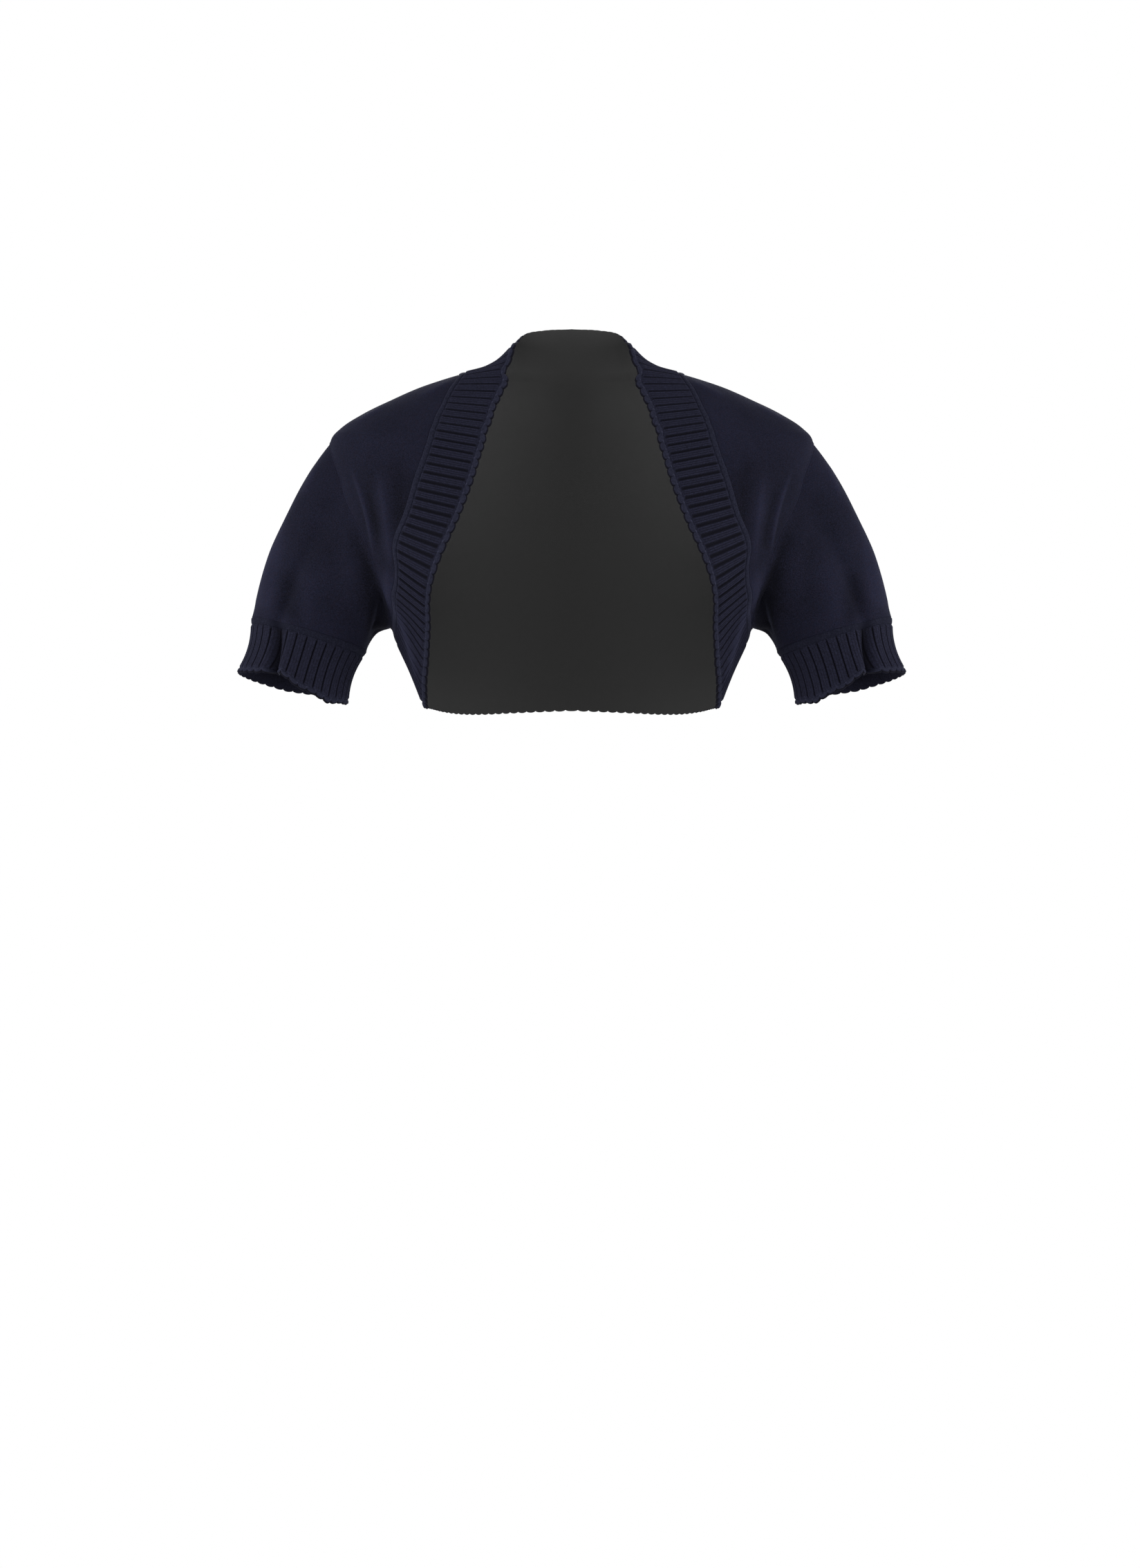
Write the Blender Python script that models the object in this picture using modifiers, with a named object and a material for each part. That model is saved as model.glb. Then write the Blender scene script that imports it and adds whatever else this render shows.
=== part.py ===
"""Knitted short-sleeved shrug, worn open over a general upper body that is left out.

Metres, +Z up. The front faces -Y and the wearer's left side is +X. The origin lies on the centre
line at the level of the neck's base, between the two points where the shoulders carry the shrug.
Every panel is a knitted wall: its outer points lie on the worn form, its inner points one wall
inside it. The left half is worked out here and the right half mirrors it.
"""
import bpy
import numpy as np

for item in list(bpy.data.objects):
    bpy.data.objects.remove(item, do_unlink=True)

MM = 0.001

# Cloth sizes
WALL = 1.8 * MM
SEAM_GAP = 0.3 * MM

# Ribbed band round the neck, fronts and hem, and the ribbed cuffs
RIBS_BACK_NECK = 12
RIBS_FRONT = 46
RIBS_BACK_HEM = 24
RIBS_CUFF = 35
RIB_CROWN = 0.9 * MM
RIB_GROOVE = 0.5 * MM
BINDING_LIFT = 0.6 * MM
BINDING_SHARE = 0.11
MIDDLE_SHARE = 0.42
RIB_END_SHARE = 0.87
SCALLOP_SHARE = 0.05
CROWN_START = 0.22
CROWN_END = 0.78
# Part of a rib by which a band piece stops short of the seam to the next one
END_CLEARANCE = 0.04

# Mesh counts and shading
FRONT_ROWS = 16
FRONT_COLUMNS = 6
BACK_ARMHOLE_ROWS = 8
SLEEVE_ROWS = 8
SHARP_ANGLE = np.radians(40)

# Worn form: one row for each level section. Lengths in millimetres, squareness 2 is an ellipse.
TORSO_COLUMNS = ("height", "half_width", "front_depth", "back_depth", "side_y", "squareness")
TORSO = (
    (50, 45, 46, 46, 8, 2.0),
    (28, 47.5, 44, 50, 8, 2.0),
    (20, 54, 42, 52, 8, 2.0),
    (14, 60.5, 40, 53.5, 8, 2.0),
    (8.5, 70, 39, 55, 8, 2.0),
    (3, 89, 39, 57, 8, 2.05),
    (-3, 109, 41, 59.5, 8, 2.1),
    (-8.5, 125, 44, 62, 8, 2.15),
    (-20, 151, 51, 66.5, 8, 2.2),
    (-31, 173, 58, 71, 7, 2.2),
    (-43, 191, 65, 76, 6, 2.25),
    (-50, 197.5, 69, 79, 5, 2.3),
    (-60, 200, 74.5, 82.5, 5, 2.3),
    (-90, 196, 88, 91, 4, 2.35),
    (-130, 189, 101, 97, 3, 2.35),
    (-170, 172, 109, 96, 2, 2.3),
    (-205, 150, 108, 91, 2, 2.25),
    (-225, 141, 105, 88, 2, 2.2),
    (-240, 134, 102, 86, 2, 2.2),
    (-275, 120, 96, 84, 2, 2.2),
)

# Band: its free edge and its seam edge, rib by rib from the centre back of the neck, over the
# shoulder, down the front and round the side to the centre back of the hem. Angles in degrees from
# the centre front, heights in millimetres.
BAND_COLUMNS = ("rib", "edge_angle", "edge_height", "seam_angle", "seam_height")
BAND = (
    (0, 180, 45.5, 180, 2.5),
    (4, 150, 43.5, 151, 2.5),
    (8, 114, 36.5, 122, 2.5),
    (12, 77, 25, 94, 2.5),
    (14, 52, 10.5, 69, 0),
    (16, 28, -4, 54, -5.5),
    (18, 22, -17, 44.5, -15),
    (20, 20, -30, 38.5, -25.5),
    (22, 18.2, -43, 35, -37),
    (24, 18, -57, 32.5, -49),
    (26, 19, -71, 33, -62),
    (30, 22, -100, 37, -90),
    (34, 27, -130.5, 41.5, -118),
    (38, 36, -163.5, 49, -145),
    (40, 41, -180, 51, -159.5),
    (42, 45.5, -194.5, 54.5, -172),
    (44, 49.5, -209, 60, -181.5),
    (46, 54, -223, 64, -189.5),
    (48, 59.5, -237, 67, -195.5),
    (50, 67, -251, 71.5, -200.5),
    (52, 74, -262.5, 76, -205),
    (54, 81, -269.5, 80.5, -209),
    (58, 97, -272.5, 90, -215),
    (64, 116, -273, 111, -222),
    (72, 144, -273, 142, -228),
    (82, 180, -273, 180, -229),
)

# Armhole seam from the shoulder to the underarm, in degrees and millimetres
ARMHOLE_COLUMNS = ("height", "angle")
ARMHOLE_FRONT = (
    (-54, 94),
    (-56, 88),
    (-63, 80.5),
    (-77, 75),
    (-101, 71),
    (-116, 66.5),
    (-129, 63),
    (-145, 61.5),
    (-161, 62),
    (-177.5, 64.5),
    (-190, 68),
    (-203.5, 76),
    (-207, 90),
)
ARMHOLE_BACK = (
    (-54, 94),
    (-56, 100),
    (-63, 106.5),
    (-80, 112),
    (-110, 117),
    (-145, 119),
    (-175, 116),
    (-198, 106),
    (-207, 90),
)

# Cuff: its seam ring and its rim ring on the sleeve's slanted axis
CUFF_CENTRE = np.array([215.9, -6.0, -213.1]) * MM
CUFF_DEPTH = 44 * MM
CUFF_LEAN = np.radians(17)
CUFF_SWING = np.radians(4.7)
CUFF_TILT = np.radians(16)
CUFF_SEAM_AXES = np.array([49.0, 40.0]) * MM
CUFF_RIM_AXES = np.array([46.5, 38.5]) * MM
CUFF_PULL = 3.7 * MM
CREASE_SEAM_ANGLE = np.radians(59)
CREASE_RIM_ANGLE = np.radians(73)
CREASE_HALF_WIDTH = np.radians(14)
CREASE_SEAM_DEPTH = 3 * MM
CREASE_RIM_DEPTH = 7 * MM

# Sleeve: how far each thread of it keeps the direction it has at its two ends
SLEEVE_HANDLE = 0.37
SLEEVE_OUTWARD = np.array([0.94, 0.0, -0.34])
SLEEVE_OUTWARD_SHARE = 0.5
# Rows just past the armhole that give the sleeve's direction there
SLEEVE_START = np.linspace(0, 0.1, 3)
# Longest corner of the inner face where the sleeve turns off the body, in wall thicknesses
MITRE_LIMIT = 1.4


def named(columns, rows):
    """Columns of a table by their names."""
    return dict(zip(columns, np.array(rows, dtype=float).T))


FORM = named(TORSO_COLUMNS, TORSO)
SIDE_STEPS = np.hypot(np.diff(FORM["height"]), np.diff(FORM["half_width"])) * MM
SIDE = np.concatenate([[0.0], np.cumsum(SIDE_STEPS)])
SECTION = np.stack([FORM[name] * MM for name in TORSO_COLUMNS[:-1]] + [FORM["squareness"]], axis=-1)


def smooth(knots, values, at):
    """Cubic curve through values at the knots, read at each place in at."""
    slopes = np.gradient(values, knots, axis=0)
    first = np.clip(np.searchsorted(knots, at) - 1, 0, len(knots) - 2)
    width = knots[first + 1] - knots[first]
    share = (at - knots[first]) / width
    share, width = share[..., None], width[..., None]
    rest = 1 - share
    start = rest ** 2 * (1 + 2 * share) * values[first] + rest ** 2 * share * width * slopes[first]
    end = share ** 2 * (1 + 2 * rest) * values[first + 1] - share ** 2 * rest * width * slopes[first + 1]
    return start + end


def unit(vectors):
    """Vectors scaled to length one."""
    return vectors / np.linalg.norm(vectors, axis=-1, keepdims=True)


def side_at(height):
    """Length along the side profile, from the top of the collar, where a height in mm lies."""
    return np.interp(-np.asarray(height), -FORM["height"], SIDE)


def torso(place):
    """Points of the worn form; place holds an angle from the centre front and a side length."""
    angle, side = place[..., 0], place[..., 1]
    height, half_width, front, back, side_y, square = np.moveaxis(smooth(SIDE, SECTION, side), -1, 0)
    sine, cosine = np.sin(angle), np.cos(angle)
    x = half_width * np.sign(sine) * np.abs(sine) ** (2 / square)
    depth = np.where(cosine > 0, -front, back)
    y = side_y + depth * np.abs(cosine) ** (2 / square)
    return np.stack([x, y, height], axis=-1)


def torso_normal(place):
    """Outward directions of the worn form."""
    step = 1e-3
    turn = torso(place + [step, 0]) - torso(place - [step, 0])
    down = torso(place + [0, step]) - torso(place - [0, step])
    return unit(np.cross(down, turn))


def places(angles, heights):
    """Angle and side length pairs from degrees and millimetres."""
    return np.stack([np.radians(angles), side_at(heights)], axis=-1)


BAND_LINE = named(BAND_COLUMNS, BAND)
BAND_EDGE = places(BAND_LINE["edge_angle"], BAND_LINE["edge_height"])
BAND_SEAM = places(BAND_LINE["seam_angle"], BAND_LINE["seam_height"])


def band_seam(rib):
    """Place of the band's seam edge at a rib."""
    return smooth(BAND_LINE["rib"], BAND_SEAM, rib)


def band_place(rib, share):
    """Place on the band: share 0 at its seam edge and 1 at its free edge."""
    seam = band_seam(rib)
    edge = smooth(BAND_LINE["rib"], BAND_EDGE, rib)
    return seam + (edge - seam) * np.asarray(share)[..., None]


def armhole(rows, count):
    """Places at even steps along an armhole seam."""
    seam = named(ARMHOLE_COLUMNS, rows)
    knots = places(seam["angle"], seam["height"])
    lengths = np.linalg.norm(np.diff(torso(knots), axis=0), axis=1)
    along = np.concatenate([[0.0], np.cumsum(lengths)])
    return smooth(along, knots, np.linspace(0, along[-1], count + 1))


def on_chords(knots, values, at):
    """Straight chords between values at the knots, read at each place in at."""
    return np.stack([np.interp(at, knots, column) for column in np.moveaxis(values, -1, 0)], axis=-1)


def set_back(outer, inner, edge, closed=False):
    """Move one edge of a wall away from its seam by half the seam gap, square to the seam."""
    turned = edge in ("first column", "last column")
    wall = [np.swapaxes(grid, 0, 1) if turned else grid for grid in (outer, inner)]
    row, inside = (0, 1) if edge.startswith("first") else (-1, -2)
    line = wall[0][row]
    if closed:
        along = np.roll(line, -1, axis=0) - np.roll(line, 1, axis=0)
    else:
        along = np.gradient(line, axis=0)
    away = unit(np.cross(along, line - wall[1][row]))
    inward = wall[0][inside] - line
    away *= np.sign(np.sum(away * inward, axis=-1, keepdims=True))
    for grid in wall:
        grid[row] += away * SEAM_GAP / 2


def collection():
    """Collection that holds the garment."""
    group = bpy.data.collections.new("knitted_shrug")
    bpy.context.scene.collection.children.link(group)
    return group


def knit_material(name, colour):
    """Fine matt knit in one colour."""
    material = bpy.data.materials.new(name)
    material.use_nodes = True
    shader = material.node_tree.nodes["Principled BSDF"]
    shader.inputs["Base Color"].default_value = (*colour, 1.0)
    shader.inputs["Roughness"].default_value = 0.9
    shader.inputs["Metallic"].default_value = 0.0
    return material


def end_faces(outside, inside):
    """Faces that close the end of a wall; the last one takes up the rows that only one side has."""
    shared = min(len(outside), len(inside)) - 1
    faces = [(outside[row], outside[row + 1], inside[row + 1], inside[row]) for row in range(shared - 1)]
    faces.append((*outside[shared - 1:], *inside[:shared - 2:-1]))
    return faces


def wall_object(name, outer, inner, material, closed=False, mirrored=False):
    """One closed cloth wall between an outer and an inner grid of points.

    Rows run across the piece and columns along it. A closed wall is a ring of columns. A mirrored
    wall starts on the centre plane, where it stays open for its Mirror modifier.
    """
    columns = outer.shape[1]
    loop = [(column, (column + 1) % columns) for column in range(columns if closed else columns - 1)]
    vertices = np.concatenate([outer.reshape(-1, 3), inner.reshape(-1, 3)])
    outside = np.arange(outer.shape[0] * columns).reshape(-1, columns)
    inside = np.arange(inner.shape[0] * columns).reshape(-1, columns) + outside.size
    faces = []
    for upper, lower in zip(outside[:-1], outside[1:]):
        faces += [(upper[a], lower[a], lower[b], upper[b]) for a, b in loop]
    for upper, lower in zip(inside[:-1], inside[1:]):
        faces += [(upper[a], upper[b], lower[b], lower[a]) for a, b in loop]
    faces += [(outside[0][a], outside[0][b], inside[0][b], inside[0][a]) for a, b in loop]
    faces += [(outside[-1][a], inside[-1][a], inside[-1][b], outside[-1][b]) for a, b in loop]
    if not closed:
        faces += end_faces(outside[:, -1], inside[:, -1])
    if not closed and not mirrored:
        faces += [face[::-1] for face in end_faces(outside[:, 0], inside[:, 0])]
    a, b, c = (vertices[corner] for corner in faces[0][:3])
    if np.dot(np.cross(b - a, c - a), outer[0, 0] - inner[0, 0]) < 0:
        faces = [(face[0], *face[:0:-1]) for face in faces]
    faces = [tuple(int(corner) for corner in face) for face in faces]
    mesh = bpy.data.meshes.new(name)
    mesh.from_pydata(vertices.tolist(), [], faces)
    mesh.shade_smooth()
    mesh.set_sharp_from_angle(angle=SHARP_ANGLE)
    mesh.materials.append(material)
    piece = bpy.data.objects.new(name, mesh)
    GARMENT.objects.link(piece)
    if mirrored:
        mirror = piece.modifiers.new("Mirror", "MIRROR")
        mirror.merge_threshold = 0.0001
    return piece


def both_sides(name, outer, inner, material, closed=False):
    """A left piece and the right piece that mirrors it."""
    flip = np.array([-1.0, 1.0, 1.0])
    wall_object(name + "_left", outer, inner, material, closed)
    wall_object(name + "_right", outer * flip, inner * flip, material, closed)


def rib_columns(first, last):
    """Rib positions of the mesh columns: a groove, then the two edges of its crown."""
    ribs = np.arange(first, last)[:, None] + [0.0, CROWN_START, CROWN_END]
    return np.append(ribs.ravel(), float(last))


def ribbed_wall(surface, normal, columns, seam_outer, seam_inner, inner_shares):
    """Outer and inner grids of a ribbed strip from its seam edge to its scalloped free edge.

    The columns are rib positions, with a groove at each whole number. Both edges lie on the
    binding. The inner grid is plain and has a row at each of inner_shares between its edges.
    """
    groove = np.abs(columns - np.round(columns)) < CROWN_START / 2
    lift = np.where(groove, -RIB_GROOVE, RIB_CROWN)[:, None]
    reach = np.where(groove, 1.0, 1 + SCALLOP_SHARE)
    outer, inner = [seam_outer], [seam_inner]
    for share in (BINDING_SHARE, MIDDLE_SHARE, RIB_END_SHARE):
        across = np.full(len(columns), share)
        plain, out = surface(columns, across), normal(columns, across)
        outer.append(plain + lift * out)
        if share in inner_shares:
            inner.append(plain - WALL * out)
    tip, out = surface(columns, reach), normal(columns, reach)
    outer.append(tip + BINDING_LIFT * out)
    inner.append(tip - WALL * out)
    return np.stack(outer), np.stack(inner)


GARMENT = collection()
PLAIN_KNIT = knit_material("plain_knit_navy", (0.0130, 0.0137, 0.0252))
RIB_KNIT = knit_material("rib_knit_navy", (0.0116, 0.0123, 0.0203))

# Where the band's rib count reaches the shoulder seam, the side seam and the centre of the hem
SHOULDER = RIBS_BACK_NECK
SIDE_SEAM = SHOULDER + RIBS_FRONT
HEM_CENTRE = SIDE_SEAM + RIBS_BACK_HEM
NECK_KNOTS = np.arange(0, SHOULDER + 1)
FRONT_KNOTS = np.linspace(SHOULDER, SIDE_SEAM, FRONT_ROWS + 1)
HEM_KNOTS = np.arange(SIDE_SEAM, HEM_CENTRE + 1, 2)


def band_surface(rib, share):
    """Point of the band's plain surface."""
    return torso(band_place(rib, share))


def band_normal(rib, share):
    """Outward direction of the band's plain surface."""
    return torso_normal(band_place(rib, share))


def band_wall(first, last, inner_shares):
    """Ribbed band between two ribs, with its seam edge on the chords that the panels share."""
    knots = np.concatenate([NECK_KNOTS[:-1], FRONT_KNOTS, HEM_KNOTS[1:]])
    seam = torso(band_seam(knots))
    out = torso_normal(band_seam(knots))
    columns = rib_columns(first, last)
    columns[0] += END_CLEARANCE if first > 0 else 0
    columns[-1] -= END_CLEARANCE if last < HEM_CENTRE else 0
    seam_outer = on_chords(knots, seam + BINDING_LIFT * out, columns)
    seam_inner = on_chords(knots, seam - WALL * out, columns)
    outer, inner = ribbed_wall(band_surface, band_normal, columns, seam_outer, seam_inner, inner_shares)
    set_back(outer, inner, "first row")
    return outer, inner


def make_bands():
    """Neck band, two front bands and the back hem band."""
    rolled = (BINDING_SHARE, MIDDLE_SHARE, RIB_END_SHARE)
    wall_object("band_neck", *band_wall(0, SHOULDER, rolled), RIB_KNIT, mirrored=True)
    both_sides("band_front", *band_wall(SHOULDER, SIDE_SEAM, (BINDING_SHARE, MIDDLE_SHARE)), RIB_KNIT)
    outer, inner = band_wall(SIDE_SEAM, HEM_CENTRE, (MIDDLE_SHARE,))
    wall_object("band_hem", outer[:, ::-1], inner[:, ::-1], RIB_KNIT, mirrored=True)


def cuff_axes():
    """Outward, forward and downward axes of the left cuff."""
    outward = np.array([np.cos(CUFF_TILT), 0.0, np.sin(CUFF_TILT)])
    flat = np.cos(CUFF_SWING)
    down = np.array([np.sin(CUFF_LEAN) * flat, -np.sin(CUFF_SWING), -np.cos(CUFF_LEAN) * flat])
    forward = unit(np.cross(down, outward))
    return outward, forward, down


def cuff_surface(rib, share):
    """Point of the left cuff's plain surface: share 0 at its seam and 1 at its rim."""
    outward, forward, down = cuff_axes()
    share = np.asarray(share)[..., None]
    angle = 2 * np.pi * rib[..., None] / RIBS_CUFF
    axes = CUFF_SEAM_AXES + (CUFF_RIM_AXES - CUFF_SEAM_AXES) * share - 4 * CUFF_PULL * share * (1 - share)
    crease = CREASE_SEAM_ANGLE + (CREASE_RIM_ANGLE - CREASE_SEAM_ANGLE) * share
    depth = CREASE_SEAM_DEPTH + (CREASE_RIM_DEPTH - CREASE_SEAM_DEPTH) * share
    dent = depth * np.exp(-((angle - crease) / CREASE_HALF_WIDTH) ** 2)
    across = (axes[..., :1] - dent) * np.cos(angle) * outward
    ahead = (axes[..., 1:] - dent) * np.sin(angle) * forward
    return CUFF_CENTRE + CUFF_DEPTH * share * down + across + ahead


def cuff_normal(rib, share):
    """Outward direction of the left cuff's plain surface."""
    step = 0.02
    turn = cuff_surface(rib + step, share) - cuff_surface(rib - step, share)
    down = cuff_surface(rib, share + step) - cuff_surface(rib, share - step)
    return unit(np.cross(turn, down))


def cuff_knots():
    """Ribs of the cuff where the sleeve's threads end, one for each column of the sleeve."""
    return np.linspace(0, RIBS_CUFF, 2 * FRONT_ROWS + 1)


def make_cuffs():
    """Ribbed cuffs."""
    knots = cuff_knots()
    start = np.zeros(len(knots))
    seam = cuff_surface(knots, start)
    out = cuff_normal(knots, start)
    columns = rib_columns(0, RIBS_CUFF)[:-1]
    seam_outer = on_chords(knots, seam + BINDING_LIFT * out, columns)
    seam_inner = on_chords(knots, seam - WALL * out, columns)
    outer, inner = ribbed_wall(cuff_surface, cuff_normal, columns, seam_outer, seam_inner, (MIDDLE_SHARE,))
    set_back(outer, inner, "first row", closed=True)
    both_sides("cuff", outer, inner, RIB_KNIT, closed=True)


def sleeve_points(starts, shares):
    """Left sleeve: smooth threads from the armhole's points to the cuff's seam."""
    knots = cuff_knots()[:-1]
    ends = cuff_surface(knots, np.zeros(len(knots)))
    down = cuff_axes()[2]
    reach = np.linalg.norm(ends - starts, axis=-1, keepdims=True) * SLEEVE_HANDLE
    leave = unit(unit(ends - starts) + SLEEVE_OUTWARD_SHARE * SLEEVE_OUTWARD)
    t = shares[:, None, None]
    first, second = starts + reach * leave, ends - reach * down
    return (1 - t) ** 3 * starts + 3 * t * (1 - t) ** 2 * first + 3 * t ** 2 * (1 - t) * second + t ** 3 * ends


def grid_normals(grid):
    """Outward directions of a ring of columns."""
    turn = np.roll(grid, -1, axis=1) - np.roll(grid, 1, axis=1)
    return unit(np.cross(turn, np.gradient(grid, axis=0)))


def armhole_loop():
    """Armhole seam as a ring of outer and inner points, from the shoulder round the front."""
    front = armhole(ARMHOLE_FRONT, FRONT_ROWS)
    back = armhole(ARMHOLE_BACK, FRONT_ROWS)[::-1]
    ring = np.concatenate([front[:-1], back[:-1]])
    outer = torso(ring)
    sleeve_out = grid_normals(sleeve_points(outer, SLEEVE_START))[0]
    body_out = torso_normal(ring)
    mitre = unit(sleeve_out + body_out)
    stretch = np.minimum(1 / np.sum(mitre * body_out, axis=-1, keepdims=True), MITRE_LIMIT)
    inner = outer - WALL * stretch * mitre
    between = np.arange(FRONT_ROWS + 1, 2 * FRONT_ROWS, FRONT_ROWS // BACK_ARMHOLE_ROWS)
    for points in (outer, inner):
        points[between] = (points[between - 1] + points[(between + 1) % len(points)]) / 2
    return outer, inner


def make_sleeves():
    """Set-in short sleeves."""
    start_outer, start_inner = armhole_loop()
    outer = sleeve_points(start_outer, np.linspace(0, 1, SLEEVE_ROWS + 1))
    inner = outer - WALL * grid_normals(outer)
    inner[0] = start_inner
    knots = cuff_knots()[:-1]
    inner[-1] = outer[-1] - WALL * cuff_normal(knots, np.zeros(len(knots)))
    set_back(outer, inner, "first row", closed=True)
    set_back(outer, inner, "last row", closed=True)
    both_sides("sleeve", outer, inner, PLAIN_KNIT, closed=True)


def make_fronts():
    """Front panels, each between the band and the armhole, from the shoulder to the side seam."""
    seam = band_seam(FRONT_KNOTS)
    arm = armhole(ARMHOLE_FRONT, FRONT_ROWS)
    share = np.linspace(0, 1, FRONT_COLUMNS + 1)[:, None]
    place = seam[:, None] + (arm - seam)[:, None] * share
    outer = torso(place)
    inner = outer - WALL * torso_normal(place)
    loop_inner = armhole_loop()[1]
    inner[:, -1] = loop_inner[:FRONT_ROWS + 1]
    for edge in ("first row", "last row", "first column", "last column"):
        set_back(outer, inner, edge)
    both_sides("front", outer, inner, PLAIN_KNIT)


def make_back():
    """Back panel, from the neck band to the hem band and out to shoulders, armholes and sides.

    The left half is filled in between its four sides: the neck band above, the hem band below, the
    centre line, and the outline of shoulder, armhole and side.
    """
    arm_step = FRONT_ROWS // BACK_ARMHOLE_ROWS
    arm_places = armhole(ARMHOLE_BACK, FRONT_ROWS)[::arm_step]
    shoulder_places = np.linspace(band_seam(float(SHOULDER)), arm_places[0], FRONT_COLUMNS + 1)
    outline = np.concatenate([shoulder_places[:-1], arm_places, [band_seam(float(SIDE_SEAM))]])
    top = band_seam(NECK_KNOTS.astype(float))
    bottom = band_seam(HEM_KNOTS[::-1].astype(float))
    drop = (outline[:, 1] - outline[0, 1]) / (outline[-1, 1] - outline[0, 1])
    centre = np.stack([np.full(len(drop), np.pi), top[0, 1] + drop * (bottom[0, 1] - top[0, 1])], axis=-1)
    u = np.linspace(0, 1, len(top))[None, :, None]
    v = drop[:, None, None]
    corners = (1 - u) * ((1 - v) * top[0] + v * bottom[0]) + u * ((1 - v) * top[-1] + v * bottom[-1])
    place = (1 - v) * top + v * bottom + (1 - u) * centre[:, None] + u * outline[:, None] - corners
    outer = torso(place)
    inner = outer - WALL * torso_normal(place)
    loop_outer, loop_inner = armhole_loop()
    arm_rows = slice(FRONT_COLUMNS, FRONT_COLUMNS + BACK_ARMHOLE_ROWS + 1)
    ring = (-np.arange(0, FRONT_ROWS + 1, arm_step)) % (2 * FRONT_ROWS)
    outer[arm_rows, -1] = loop_outer[ring]
    inner[arm_rows, -1] = loop_inner[ring]
    for edge in ("first row", "last row", "last column"):
        set_back(outer, inner, edge)
    wall_object("back", outer, inner, PLAIN_KNIT, mirrored=True)


make_back()
make_fronts()
make_sleeves()
make_bands()
make_cuffs()
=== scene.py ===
"""Looks of a knitted short-sleeved shrug, worn open: knit panels, one wide ribbed band, ribbed cuffs."""

import bpy
import numpy as np
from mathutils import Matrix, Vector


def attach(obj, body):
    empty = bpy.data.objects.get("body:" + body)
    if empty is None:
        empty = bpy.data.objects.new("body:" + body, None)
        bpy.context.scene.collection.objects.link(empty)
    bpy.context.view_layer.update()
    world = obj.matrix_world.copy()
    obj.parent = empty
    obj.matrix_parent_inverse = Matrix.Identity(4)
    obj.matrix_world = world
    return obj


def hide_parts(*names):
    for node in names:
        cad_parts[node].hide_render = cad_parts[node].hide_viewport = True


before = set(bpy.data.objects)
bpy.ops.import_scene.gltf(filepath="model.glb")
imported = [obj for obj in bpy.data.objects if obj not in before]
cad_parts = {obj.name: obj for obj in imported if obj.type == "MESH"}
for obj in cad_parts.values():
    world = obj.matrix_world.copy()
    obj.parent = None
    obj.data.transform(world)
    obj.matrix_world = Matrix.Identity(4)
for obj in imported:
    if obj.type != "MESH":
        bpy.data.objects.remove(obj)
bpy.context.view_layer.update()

# Back panel: fine plain knit from the neck band to the hem band, out to the shoulders, the armholes
# and the side seams. It is knitted to shape in navy yarn, and its inner face shows charcoal through
# the open front. It lies on the worn form, a stack of level sections, and so does all the rest.
MM = 0.001
WALL = 1.8 * MM

# The tables are in millimetres and degrees. An angle runs round the form from the front, 0, to the
# back, 180. A rib's line runs over the band from its seam to its free edge.
FORM_COLUMNS = ("height", "half_width", "front_depth", "back_depth", "side_y", "squareness")
FORM = (
    (50, 45, 46, 46, 8, 2.0),
    (28, 47.5, 44, 50, 8, 2.0),
    (20, 54, 42, 52, 8, 2.0),
    (14, 60.5, 40, 53.5, 8, 2.0),
    (8.5, 70, 39, 55, 8, 2.0),
    (3, 89, 39, 57, 8, 2.05),
    (-3, 109, 41, 59.5, 8, 2.1),
    (-8.5, 125, 44, 62, 8, 2.15),
    (-20, 151, 51, 66.5, 8, 2.2),
    (-31, 173, 58, 71, 7, 2.2),
    (-43, 191, 65, 76, 6, 2.25),
    (-50, 197.5, 69, 79, 5, 2.3),
    (-60, 200, 74.5, 82.5, 5, 2.3),
    (-90, 196, 88, 91, 4, 2.35),
    (-130, 189, 101, 97, 3, 2.35),
    (-170, 172, 109, 96, 2, 2.3),
    (-205, 150, 108, 91, 2, 2.25),
    (-225, 141, 105, 88, 2, 2.2),
    (-240, 134, 102, 86, 2, 2.2),
    (-275, 120, 96, 84, 2, 2.2),
)
BAND_COLUMNS = ("rib", "edge_angle", "edge_height", "seam_angle", "seam_height")
BAND = (
    (0, 180, 45.5, 180, 2.5),
    (4, 150, 43.5, 151, 2.5),
    (8, 114, 36.5, 122, 2.5),
    (10, 96.5, 28.4, 108, 2.5),
    (12, 77, 24.5, 94, 2.5),
    (14, 52, 10.5, 69, 0),
    (16, 28, -4, 54, -5.5),
    (18, 22, -17, 44.5, -15),
    (20, 20, -30, 38.5, -25.5),
    (22, 18.2, -43, 35, -37),
    (24, 18, -57, 32.5, -49),
    (26, 19, -71, 33, -62),
    (30, 22, -100, 37, -90),
    (34, 27, -130.5, 41.5, -118),
    (38, 36, -163.5, 49, -145),
    (40, 41, -180, 51, -159.5),
    (42, 45.5, -194.5, 54.5, -172),
    (44, 49.5, -209, 60, -181.5),
    (46, 54, -223, 64, -189.5),
    (48, 59.5, -237, 67, -195.5),
    (50, 67, -251, 71.5, -200.5),
    (52, 74, -262.5, 76, -205),
    (54, 81, -269.5, 80.5, -209),
    (58, 97, -270.3, 90, -215),
    (61, 106.5, -271.3, 100.5, -219),
    (64, 116, -273, 111, -222),
    (68, 130, -274.8, 126.5, -225.5),
    (72, 144, -274.8, 142, -228),
    (76, 158, -273.5, 157, -228.5),
    (82, 180, -271.6, 180, -229),
)
SHOULDER_RIB = 12
SIDE_RIB = 58
HEM_RIB = 82
ARMHOLE_COLUMNS = ("height", "angle")
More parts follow.
